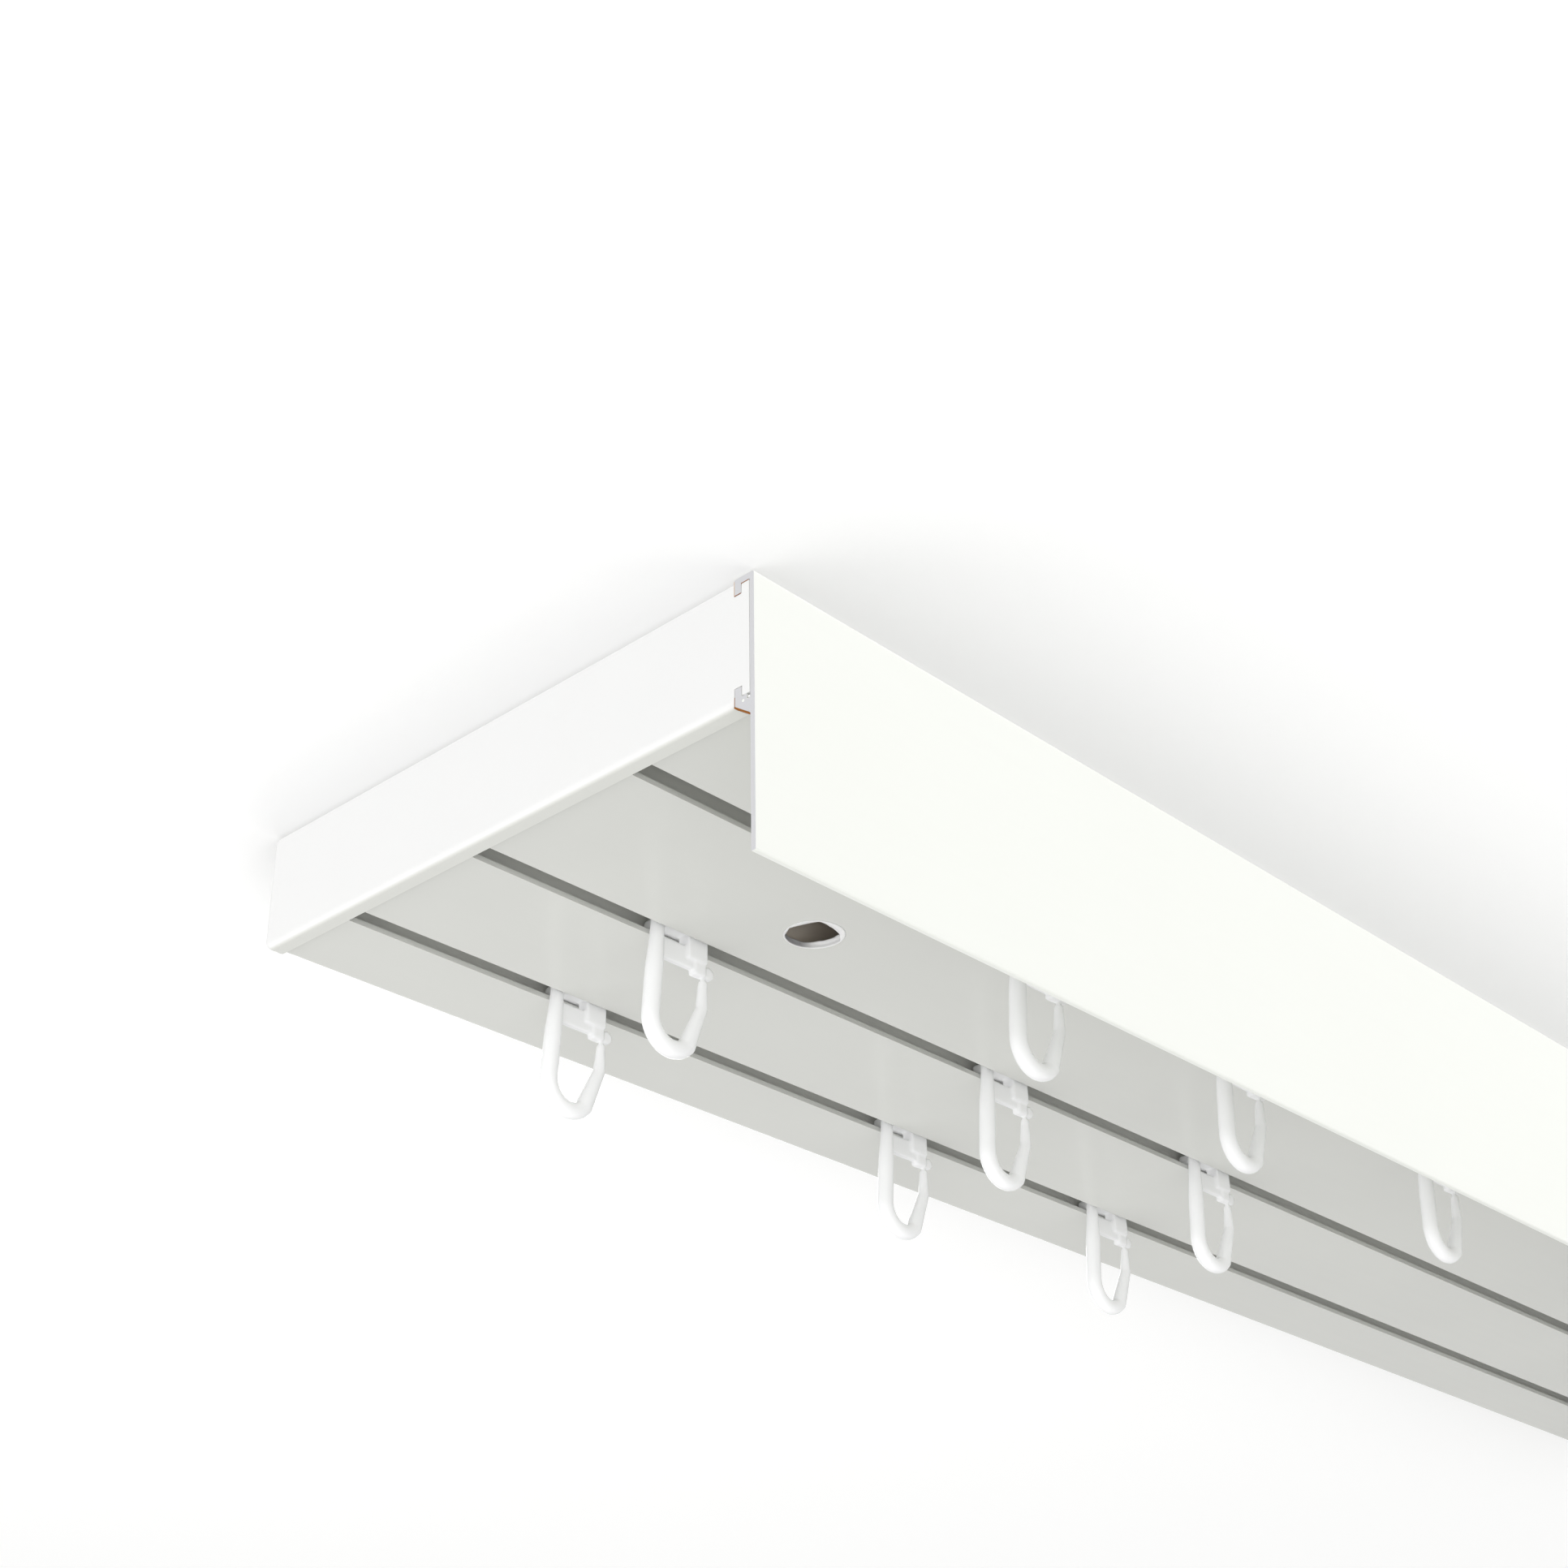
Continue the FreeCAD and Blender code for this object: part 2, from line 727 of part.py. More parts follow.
def main():
    """Build the track and write each sub-part."""
    document = FreeCAD.newDocument("CurtainTrack")
    d = fill_sheet(document)
    near_cap = make_end_cap(document, d)
    far_cap = make_far_cap(document, near_cap)
    parts = [make_rail(document, d), make_fascia(document, d), near_cap, far_cap]
    moulding = make_moulding(document, d)
    for run, stations in STATIONS.items():
        for number in range(1, len(stations) + 1):
            parts.append(make_glider(document, d, moulding, run, number))
    document.recompute()
    check_document(document, parts)
    os.makedirs("parts", exist_ok=True)
    for part in parts:
        part.Shape.exportStep(f"parts/{part.Label}.step")
        print(part.Label, round(part.Shape.Volume, 1), part.Shape.BoundBox)


main()
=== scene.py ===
"""Looks of a three-run ceiling curtain track: rail, clip-on fascia, end caps and hook gliders.

The track hangs under a ceiling, with its ceiling face at height zero, its fascia towards -Y and
its length along X. Sizes are millimetres unless a comment says otherwise, and meshes are scaled
to metres at the end.
"""

from __future__ import annotations

import logging
import math
from dataclasses import dataclass
from enum import Enum
from typing import Iterable, Sequence, Union

import bmesh
import bpy
from mathutils import Matrix, Vector

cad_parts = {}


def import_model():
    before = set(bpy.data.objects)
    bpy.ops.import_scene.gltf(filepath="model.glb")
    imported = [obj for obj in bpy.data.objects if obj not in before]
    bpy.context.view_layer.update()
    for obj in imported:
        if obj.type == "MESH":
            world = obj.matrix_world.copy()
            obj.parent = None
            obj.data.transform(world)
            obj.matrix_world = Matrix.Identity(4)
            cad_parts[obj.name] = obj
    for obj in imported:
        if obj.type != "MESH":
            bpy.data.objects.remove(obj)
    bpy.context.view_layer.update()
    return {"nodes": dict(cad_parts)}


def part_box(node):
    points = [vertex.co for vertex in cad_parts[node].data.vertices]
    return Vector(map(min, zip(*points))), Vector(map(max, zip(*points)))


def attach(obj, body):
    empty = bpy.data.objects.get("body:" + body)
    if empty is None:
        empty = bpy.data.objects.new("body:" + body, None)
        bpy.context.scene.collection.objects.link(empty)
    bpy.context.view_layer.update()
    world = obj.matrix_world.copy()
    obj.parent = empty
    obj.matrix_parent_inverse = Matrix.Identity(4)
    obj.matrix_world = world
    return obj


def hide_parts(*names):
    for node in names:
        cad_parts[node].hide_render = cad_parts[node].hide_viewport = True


LOG = logging.getLogger("curtain_track")
MM = 0.001
PER_METRE = 1000.0
Triple = tuple[float, float, float]
Colour = Triple
EVEN: Triple = (1.0, 1.0, 1.0)
WHITE = (1.0, 1.0, 1.0, 1.0)


class Value:
    """One socket of a node graph that Python's arithmetic can be written with."""

    def __init__(self, graph: "Graph", socket: bpy.types.NodeSocket) -> None:
        """Wrap a socket.

        Args:
            graph: The graph that the socket belongs to.
            socket: An output socket that holds a number.
        """
        self.graph = graph
        self.socket = socket

    def __add__(self, other: Operand) -> "Value":
        """Sum of two values."""
        return self.graph.math("ADD", self, other)

    __radd__ = __add__

    def __sub__(self, other: Operand) -> "Value":
        """Difference of two values."""
        return self.graph.math("SUBTRACT", self, other)

    def __rsub__(self, other: Operand) -> "Value":
        """Difference with the number in front, as in 1 - mask."""
        return self.graph.math("SUBTRACT", other, self)

    def __mul__(self, other: Operand) -> "Value":
        """Product of two values."""
        return self.graph.math("MULTIPLY", self, other)

    __rmul__ = __mul__

    def __gt__(self, other: Operand) -> "Value":
        """One where this value is the greater, else nothing."""
        return self.graph.math("GREATER_THAN", self, other)

    def __lt__(self, other: Operand) -> "Value":
        """One where this value is the smaller, else nothing."""
        return self.graph.math("LESS_THAN", self, other)

    def __abs__(self) -> "Value":
        """Size of the value without its sign."""
        return self.graph.math("ABSOLUTE", self)


Operand = Union[Value, int, float]


class Graph:
    """Node tree of one material or of the world: one method for maths, one for any other node."""

    def __init__(self, owner: Union[bpy.types.Material, bpy.types.World]) -> None:
        """Start an empty tree.

        Args:
            owner: The material or world whose nodes are replaced.
        """
        owner.use_nodes = True
        self.tree = owner.node_tree
        self.tree.nodes.clear()

    def add(
        self, kind: str, settings: dict[str, object], inputs: dict[Union[str, int], object]
    ) -> bpy.types.Node:
        """Add any node.

        Args:
            kind: The node's type, such as ShaderNodeTexNoise.
            settings: Properties of the node, set first. A key "stops" fills a colour ramp.
            inputs: Numbers, colours, values or sockets for the node's inputs, by name or number.

        Returns:
            The new node.
        """
        node = self.tree.nodes.new(kind)
        for name, setting in settings.items():
            if name == "stops":
                self._fill_ramp(node, setting)
            else:
                setattr(node, name, setting)
        for name, given in inputs.items():
            socket = node.inputs[name]
            if isinstance(given, Value):
                given = given.socket
            if isinstance(given, bpy.types.NodeSocket):
                self.tree.links.new(given, socket)
            else:
                socket.default_value = given
        return node

    @staticmethod
    def _fill_ramp(node: bpy.types.Node, stops: Sequence[tuple[float, Colour]]) -> None:
        """Give a colour ramp its stops.

        Args:
            node: The colour ramp.
            stops: Places from 0 to 1 with their colours.
        """
        elements = node.color_ramp.elements
        while len(elements) < len(stops):
            elements.new(1.0)
        for element, (place, colour) in zip(elements, stops):
            element.position = place
            element.color = (*colour, 1.0)

    def math(self, operation: str, *operands: Operand) -> Value:
        """Add one Math node.

        Args:
            operation: The node's operation.
            *operands: Values or numbers, in order.

        Returns:
            The node's result.
        """
        node = self.add("ShaderNodeMath", {"operation": operation}, dict(enumerate(operands)))
        return Value(self, node.outputs[0])

    def place(self, stretch: Triple = EVEN) -> bpy.types.NodeSocket:
        """Position on the piece in metres, stretched along the axes.

        Args:
            stretch: Factor along each axis.

        Returns:
            The vector's socket.
        """
        coordinates = self.add("ShaderNodeTexCoord", {}, {})
        inputs = {0: coordinates.outputs["Object"], 1: stretch}
        scaled = self.add("ShaderNodeVectorMath", {"operation": "MULTIPLY"}, inputs)
        return scaled.outputs["Vector"]

    def axis(self, name: str) -> Value:
        """Position on the piece along one axis, in millimetres."""
        parts = self.add("ShaderNodeSeparateXYZ", {}, {"Vector": self.place()})
        return Value(self, parts.outputs[name]) * PER_METRE

    def between(self, name: str, low: float, high: float) -> Value:
        """One where the position along an axis lies between two bounds, else nothing.

        Args:
            name: The axis.
            low: Lower bound in millimetres.
            high: Upper bound in millimetres.

        Returns:
            The mask.
        """
        place = self.axis(name)
        return (place > low) * (place < high)

    def noise(self, scale: float, detail: float = 2.0, stretch: Triple = EVEN) -> Value:
        """Soft noise about nothing, from about -0.5 to 0.5.

        Args:
            scale: Waves to a metre.
            detail: Octaves of finer noise.
            stretch: Factor along each axis, small where the pattern is long.

        Returns:
            The noise.
        """
        inputs = {"Vector": self.place(stretch), "Scale": scale, "Detail": detail}
        texture = self.add("ShaderNodeTexNoise", {}, inputs)
        return Value(self, texture.outputs["Fac"]) - 0.5

    def mix(self, share: Operand, first: object, second: object) -> bpy.types.NodeSocket:
        """Blend of two colours.

        Args:
            share: How much of the second colour.
            first: Colour or socket at nothing.
            second: Colour or socket at one.

        Returns:
            The blend's socket.
        """
        colours = [(*one, 1.0) if isinstance(one, tuple) else one for one in (first, second)]
        inputs = {0: share, 6: colours[0], 7: colours[1]}
        return self.add("ShaderNodeMix", {"data_type": "RGBA"}, inputs).outputs[2]

    def bump(self, height: Value, depth: float, strength: float = 1.0) -> bpy.types.NodeSocket:
        """Relief of a surface.

        Args:
            height: Height of the relief, about one high.
            depth: Real depth of that relief in metres.
            strength: How much of it shows, up to one.

        Returns:
            The normal's socket.
        """
        inputs = {"Strength": strength, "Distance": depth, "Height": height}
        return self.add("ShaderNodeBump", {}, inputs).outputs["Normal"]

    def seen(self) -> Value:
        """One for rays that show the surroundings: to the camera, in reflections, through glass."""
        path = self.add("ShaderNodeLightPath", {}, {})
        kinds = ("Is Camera Ray", "Is Glossy Ray", "Is Transmission Ray")
        camera, glossy, transmission = (Value(self, path.outputs[kind]) for kind in kinds)
        return camera + glossy + transmission


@dataclass(frozen=True)
class Plastic:
    """Finish of a plastic: a pale colour that drifts, streaks or speckles, and a fine relief."""

    name: str
    colour: Colour
    shade: Colour
    drift_scale: float
    drift: float
    grain_scale: float
    grain: float
    roughness: float
    roughness_spread: float
    relief: float
    stretch: Triple = EVEN
    speckle_finer: float = 2.3
    speckle: float = 0.5
    coat: float = 0.0
    coat_roughness: float = 0.12
    subsurface: float = 0.0
    subsurface_reach: float = 1.2

    def colour_of(self, graph: Graph) -> bpy.types.NodeSocket:
        """Colour over the surface, between the finish's two tones.

        Args:
            graph: The material's graph.

        Returns:
            The colour's socket.
        """
        drift = graph.noise(self.drift_scale, 3.0) * self.drift
        grain = graph.noise(self.grain_scale, 2.0, self.stretch) * self.grain
        return graph.mix(drift + grain + 0.5, self.shade, self.colour)

    def make(self) -> bpy.types.Material:
        """Build the material.

        Returns:
            The new material.
        """
        material = bpy.data.materials.new(self.name)
        graph = Graph(material)
        grain = graph.noise(self.grain_scale, 2.0, self.stretch)
        speckle = graph.noise(self.grain_scale * self.speckle_finer, 1.0, self.stretch)
        inputs = {
            "Base Color": self.colour_of(graph),
            "Roughness": grain * self.roughness_spread + self.roughness,
            "Normal": graph.bump(grain + speckle * self.speckle, self.relief * MM),
            "Coat Weight": self.coat,
            "Coat Roughness": self.coat_roughness,
            "Subsurface Weight": self.subsurface,
            "Subsurface Radius": EVEN,
            "Subsurface Scale": self.subsurface_reach * MM,
        }
        shader = graph.add("ShaderNodeBsdfPrincipled", {}, inputs)
        graph.add("ShaderNodeOutputMaterial", {}, {"Surface": shader.outputs["BSDF"]})
        return material


@dataclass(frozen=True)
class RailPlastic(Plastic):
    """Extruded plastic of the rail, with painted shade in dull brown grey inside its screw chamber.
    """

    # Painted shade: the screw chamber's inner walls take this dull brown grey
    inner: Colour = (0.84, 0.775, 0.69)
    chamber_across: tuple[float, float] = (-21.475, -6.375)
    chamber_upward: tuple[float, float] = (-21.55, -1.15)

    def colour_of(self, graph: Graph) -> bpy.types.NodeSocket:
        """Colour over the surface, with painted shade inside the screw chamber."""
        outside = super().colour_of(graph)
        across = graph.between("Y", *self.chamber_across)
        upward = graph.between("Z", *self.chamber_upward)
        return graph.mix(across * upward, outside, self.inner)


@dataclass(frozen=True)
class CapPlastic(Plastic):
    """Plastic of the end caps, with painted shade in the rail's duller grey under the skirt."""

    # Painted shade: the caps' underside below the skirt is darkened to the rail's grey
    painted_under_shade: Colour = (0.745, 0.75, 0.715)
    under_height: float = -23.0
    edge: float = 0.25

    def colour_of(self, graph: Graph) -> bpy.types.NodeSocket:
        """Colour over the surface, with painted shade below the skirt."""
        outside = super().colour_of(graph)
        depth = (self.under_height - graph.axis("Z")) * (1.0 / self.edge)
        share = graph.math("MINIMUM", graph.math("MAXIMUM", depth, 0.0), 1.0)
        return graph.mix(share, outside, self.painted_under_shade)


@dataclass(frozen=True)
class StripPlastic(Plastic):
    """Plastic of the fascia, greyer on its sawn ends."""

    sawn: Colour = (0.66, 0.66, 0.68)
    sawn_dark: Colour = (0.4, 0.4, 0.42)
    sawn_scale: float = 900.0
    sawn_grain: float = 0.06
    end: float = 299.95
    chip_across: float = -62.1
    chip_height: float = -23.2
    chip_radius: float = 0.26

    def colour_of(self, graph: Graph) -> bpy.types.NodeSocket:
        """Colour over the surface, grey on the sawn ends, with a small white chip."""
        outside = super().colour_of(graph)
        grain = graph.noise(self.sawn_scale) * self.sawn_grain
        sawn = graph.mix(grain + self.sawn_grain / 2, self.sawn, self.sawn_dark)
        across = graph.axis("Y") - self.chip_across
        upward = graph.axis("Z") - self.chip_height
        chip = (across * across + upward * upward) < self.chip_radius * self.chip_radius
        chipped = graph.mix(chip, sawn, self.colour)
        return graph.mix(abs(graph.axis("X")) > self.end, outside, chipped)


@dataclass(frozen=True)
class DrilledPlastic(Plastic):
    """Bare plastic of a drilled edge, with painted shade where its attribute says so."""

    # Painted shade: grey-violet on the shaded side of the bore
    painted_shade: Colour = (0.42, 0.415, 0.43)
    attribute: str = "painted_shade"

    def colour_of(self, graph: Graph) -> bpy.types.NodeSocket:
        """Colour over the surface, with painted shade on the side of the bore that lies in shade.
        """
        painted_shade_side = graph.add("ShaderNodeAttribute", {"attribute_name": self.attribute}, {})
        share = Value(graph, painted_shade_side.outputs["Fac"])
        return graph.mix(share, super().colour_of(graph), self.painted_shade)


class Finish(Enum):
    """The finishes of the track."""

    RAIL = RailPlastic(
        name="rail_extrusion",
        colour=(0.735, 0.741, 0.706), shade=(0.685, 0.69, 0.661),
        drift_scale=14.0, drift=1.4,
        grain_scale=420.0, grain=0.12, stretch=(0.02, 1.0, 1.0),
        roughness=0.21, roughness_spread=0.06, relief=0.003,
    )
    FASCIA = StripPlastic(
        name="fascia_strip",
        colour=(0.93, 0.945, 0.9), shade=(0.9, 0.91, 0.865),
        drift_scale=14.0, drift=0.9,
        grain_scale=700.0, grain=0.3, stretch=(0.05, 1.0, 1.0),
        roughness=0.36, roughness_spread=0.1, relief=0.006,
    )
    END_CAP = CapPlastic(
        name="cap_moulding",
        colour=(0.93, 0.93, 0.925), shade=(0.9, 0.9, 0.895),
        drift_scale=60.0, drift=0.6,
        grain_scale=1800.0, grain=0.4,
        roughness=0.42, roughness_spread=0.1, relief=0.012,
    )
    GLIDER = Plastic(
        name="glider_moulding",
        colour=(0.965, 0.967, 0.972), shade=(0.92, 0.924, 0.935),
        drift_scale=90.0, drift=0.8,
        grain_scale=900.0, grain=0.2,
        roughness=0.24, roughness_spread=0.08, relief=0.005,
        coat=0.15, subsurface=0.12,
    )
    CUT_EDGE = DrilledPlastic(
        name="drilled_edge",
        colour=(0.99, 0.99, 0.985), shade=(0.93, 0.93, 0.925),
        drift_scale=500.0, drift=0.8,
        grain_scale=2600.0, grain=0.5,
        roughness=0.5, roughness_spread=0.2, relief=0.03,
        subsurface=0.5,
    )
    FILM = Plastic(
        name="protective_film",
        colour=(0.36, 0.115, 0.001), shade=(0.22, 0.075, 0.004),
        drift_scale=1500.0, drift=1.6,
        grain_scale=4000.0, grain=0.8,
        roughness=0.7, roughness_spread=0.1, relief=0.01,
    )
    PALE_FILM = Plastic(
        name="pale_film",
        colour=(0.8, 0.6, 0.42), shade=(0.55, 0.33, 0.17),
        drift_scale=1500.0, drift=1.4,
        grain_scale=4000.0, grain=0.8,
        roughness=0.7, roughness_spread=0.1, relief=0.01,
    )

    def material(self) -> bpy.types.Material:
        """The finish's material, made the first time that it is asked for."""
        found = bpy.data.materials.get(self.value.name)
        return found or self.value.make()


def dress(piece: bpy.types.Object, finish: Finish) -> None:
    """Give a piece one finish all over.

    Args:
        piece: The piece, or a node of the frame.
        finish: Its finish.
    """
    piece.data.materials.clear()
    piece.data.materials.append(finish.material())


def new_piece(name: str, mesh: bpy.types.Mesh) -> bpy.types.Object:
    """Put a mesh in the scene as an object at the origin.

    Args:
        name: The piece's name.
        mesh: Its mesh, in place.

    Returns:
        The new object.
    """
    piece = bpy.data.objects.new(name, mesh)
    bpy.context.scene.collection.objects.link(piece)
    return piece


def finished_mesh(name: str, shape: bmesh.types.BMesh, smooth: bool = True) -> bpy.types.Mesh:
    """Turn a bmesh into a mesh with outward normals, and free the bmesh.

    Args:
        name: The mesh's name.
        shape: The bmesh.
        smooth: Whether the faces are shaded smooth.

    Returns:
        The new mesh.
    """
    bmesh.ops.recalc_face_normals(shape, faces=shape.faces)
    mesh = bpy.data.meshes.new(name)
    shape.to_mesh(mesh)
    shape.free()
    mesh.polygons.foreach_set("use_smooth", [smooth] * len(mesh.polygons))
    return mesh


@dataclass(frozen=True)
class Ring:
    """One ring of a swept rod, in the plane of the glider's hook."""

    x: float
    z: float
    lean: float
    diameter: float
    mitre: float = 0.0

    def matrix(self) -> Matrix:
        """Placement of a unit circle: across the rod in the hook's plane, and along Y."""
        lean = math.radians(self.lean)
        radius = self.diameter / 2
        wide = radius / math.cos(math.radians(self.mitre))
        across = Vector((math.cos(lean), 0.0, -math.sin(lean))) * wide
        along = Vector((math.sin(lean), 0.0, math.cos(lean))) * radius
        side = Vector((0.0, radius, 0.0))
        rotation = Matrix((across, side, along)).transposed().to_4x4()
        return Matrix.Translation((self.x, 0.0, self.z)) @ rotation


def sweep(shape: bmesh.types.BMesh, rings: Sequence[Ring], sides: int) -> None:
    """Extrude a closed rod from ring to ring.

    Args:
        shape: The bmesh that gets the rod.
        rings: The rings, in order.
        sides: Sides of each ring.
    """
    place = rings[0].matrix()
    made = bmesh.ops.create_circle(shape, cap_ends=True, segments=sides, radius=1.0, matrix=place)
    end = [made["verts"][0].link_faces[0]]
    for ring in rings[1:]:
        grown = bmesh.ops.extrude_face_region(shape, geom=end)["geom"]
        corners = [part for part in grown if isinstance(part, bmesh.types.BMVert)]
        end = [part for part in grown if isinstance(part, bmesh.types.BMFace)]
        bmesh.ops.transform(shape, matrix=ring.matrix() @ place.inverted(), verts=corners)
        place = ring.matrix()


@dataclass(frozen=True)
class Block:
    """A block with rounded edges, even on both sides of the glider's middle plane."""

    left: float
    right: float
    width: float
    low: float
    high: float
    edge: float

    def add_to(self, shape: bmesh.types.BMesh) -> None:
        """Add the block to a bmesh."""
        low = Vector((self.left, -self.width / 2, self.low))
        high = Vector((self.right, self.width / 2, self.high))
        place = Matrix.LocRotScale((low + high) / 2, None, high - low)
        made = bmesh.ops.create_cube(shape, size=1.0, matrix=place)
        edges = {side for corner in made["verts"] for side in corner.link_edges}
        bmesh.ops.bevel(
            shape, geom=list(edges), offset=self.edge, offset_type="OFFSET", affect="EDGES",
            segments=3, profile=0.5, material=-1,
        )


@dataclass(frozen=True)
class Glider:
    """Moulded glider: a shoe for the channel, a neck, and a hook that closes against a lug.

    Heights are from the rail's underside and lengths from the glider's own origin in the slot.
    """

    shoe: Block = Block(-4.0, 7.4, 9.6, 1.3, 3.7, 0.7)
    neck: Block = Block(2.0, 7.0, 3.0, -3.6, 2.5, 0.35)
    web: Block = Block(-4.5, 6.6, 1.4, -5.2, -1.0, 0.25)
    lug: Block = Block(4.0, 7.0, 2.2, -6.0, -2.6, 0.5)
    nub_x: float = 8.0
    nub_z: float = -4.8
    nub_diameter: float = 2.6
    nub_sides: int = 24
    leg_lean: float = 4.5
    leg_top: float = 2.5
    leg_top_diameter: float = 2.7
    taper_top: float = -0.5
    taper_length: float = 8.0
    taper_steps: int = 6
    hook_diameter: float = 3.4
    bend_radius: float = 5.2
    bend_x: float = -0.9
    bend_z: float = -17.1
    bend_end: float = 46.0
    bend_steps: int = 24
    rise_lean: float = 24.0
    rise_top: float = -12.2
    rise_base_diameter: float = 3.5
    rise_diameter: float = 2.35
    rise_shares: tuple[float, ...] = (0.25, 0.6)
    tip_lean: float = 3.0
    tip_top: float = -6.35
    tip_diameter: float = 1.7
    tip_shares: tuple[tuple[float, float], ...] = ((0.5, 1.0), (0.9, 1.0), (1.0, 0.6))
    rod_sides: int = 32
    voxel: float = 0.24
    smoothing: int = 3
    smoothing_share: float = 0.5
    kept_share: float = 0.3

    def leg(self) -> list[Ring]:
        """Rings of the leg, from inside the shoe down to the bend."""
        start_x, start_z = self.bend_at(-90.0 - self.leg_lean)
        slope = math.tan(math.radians(self.leg_lean))
        growth = self.hook_diameter - self.leg_top_diameter
        heights = [(self.leg_top, self.leg_top_diameter), (self.taper_top, self.leg_top_diameter)]
        for step in range(1, self.taper_steps + 1):
            share = step / self.taper_steps
            smooth = share * share * (3 - 2 * share)
            diameter = self.leg_top_diameter + growth * smooth
            heights.append((self.taper_top - self.taper_length * share, diameter))
        lean = 180.0 + self.leg_lean
        return [Ring(start_x + (z - start_z) * slope, z, lean, size) for z, size in heights]

    def bend_at(self, angle: float) -> tuple[float, float]:
        """Point of the bend's middle line at an angle from its lowest point.

        Args:
            angle: Degrees from the lowest point, towards the rising leg.

        Returns:
            The point's x and z.
        """
        turn = math.radians(angle)
        across, down = self.bend_radius * math.sin(turn), self.bend_radius * math.cos(turn)
        return self.bend_x + across, self.bend_z - down

    def bend(self) -> list[Ring]:
        """Rings of the round bend, up to the crease where the rising leg starts."""
        first = -90.0 - self.leg_lean
        rings = []
        for step in range(self.bend_steps):
            angle = first + (self.bend_end - first) * step / self.bend_steps
            rings.append(Ring(*self.bend_at(angle), 90.0 - angle, self.hook_diameter))
        turn = (90.0 - self.bend_end - self.rise_lean) / 2
        lean = self.rise_lean + turn
        rings.append(Ring(*self.bend_at(self.bend_end), lean, self.rise_base_diameter, turn))
        return rings

    def rise(self) -> list[Ring]:
        """Rings of the rising leg and of the tip that closes against the lug."""
        foot_x, foot_z = self.bend_at(self.bend_end)
        rise = self.rise_top - foot_z
        top_x = foot_x + rise * math.tan(math.radians(self.rise_lean))
        rings = []
        for share in self.rise_shares:
            size = self.rise_base_diameter + (self.rise_diameter - self.rise_base_diameter) * share
            x = foot_x + (top_x - foot_x) * share
            rings.append(Ring(x, foot_z + rise * share, self.rise_lean, size))
        turn = (self.rise_lean - self.tip_lean) / 2
        rings.append(Ring(top_x, self.rise_top, self.tip_lean + turn, self.rise_diameter, turn))
        height = self.tip_top - self.rise_top
        slope = math.tan(math.radians(self.tip_lean))
        for share, size in self.tip_shares:
            diameter = self.rise_diameter + (self.tip_diameter - self.rise_diameter) * share
            x, z = top_x + height * share * slope, self.rise_top + height * share
            rings.append(Ring(x, z, self.tip_lean, diameter * size))
        return rings

    def moulding(self) -> bpy.types.Mesh:
        """Model one glider about the point where it leaves the slot.

        Returns:
            Its mesh in metres, with the pieces blended as one moulding.
        """
        shape = bmesh.new()
        for block in (self.shoe, self.neck, self.web, self.lug):
            block.add_to(shape)
        crosswise = Matrix.Rotation(math.radians(90), 4, "X")
        place = Matrix.Translation((self.nub_x, 0.0, self.nub_z)) @ crosswise
        radius = self.nub_diameter / 2
        bmesh.ops.create_cone(
            shape, cap_ends=True, segments=self.nub_sides, radius1=radius, radius2=radius,
            depth=self.web.width, matrix=place,
        )
        sweep(shape, self.leg() + self.bend() + self.rise(), self.rod_sides)
        # Voxels join the pieces into one moulding, whose inner corners are then rounded
        rough = new_piece("glider_pattern", finished_mesh("glider_pattern", shape))
        remesh = rough.modifiers.new("Blend", "REMESH")
        remesh.mode = "VOXEL"
        remesh.voxel_size = self.voxel
        soften = rough.modifiers.new("Soften", "SMOOTH")
        soften.factor = self.smoothing_share
        soften.iterations = self.smoothing
        thin = rough.modifiers.new("Thin", "DECIMATE")
        thin.ratio = self.kept_share
        graph = bpy.context.evaluated_depsgraph_get()
        mesh = bpy.data.meshes.new_from_object(rough.evaluated_get(graph))
        bpy.data.objects.remove(rough)
        mesh.transform(Matrix.Scale(MM, 4))
        mesh.polygons.foreach_set("use_smooth", [True] * len(mesh.polygons))
        return mesh

    def origin(self, node: str) -> Vector:
        """Point where a glider of the frame leaves its slot.

        Args:
            node: The glider's node.

        Returns:
            The point, in metres.
        """
        low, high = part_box(node)
        reach = self.nub_x + self.nub_diameter / 2
        return Vector((high.x - reach * MM, (low.y + high.y) / 2, high.z - self.shoe.high * MM))

    def build(self, nodes: Iterable[str]) -> None:
        """Make one glider for each glider of the frame.

        Args:
            nodes: Names of the gliders' nodes.
        """
        pattern = self.moulding()
        for node in nodes:
            mesh = pattern.copy()
            mesh.transform(Matrix.Translation(self.origin(node)))
            piece = new_piece(f"moulded_{node}", mesh)
            dress(piece, Finish.GLIDER)
            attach(piece, node)
            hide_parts(node)
            LOG.info("%s: %d faces", piece.name, len(mesh.polygons))


@dataclass(frozen=True)
class Tooth:
    """A tooth of torn plastic on the edge of a drilled hole; its angles are in degrees."""

    angle: float
    half_width: float
    depth: float

    def at(self, angle: float) -> float:
        """Depth of the tooth at an angle round the hole, in degrees."""
        away = abs(math.remainder(angle - self.angle, 360.0)) / self.half_width
        return self.depth * max(0.0, 1.0 - away * away)


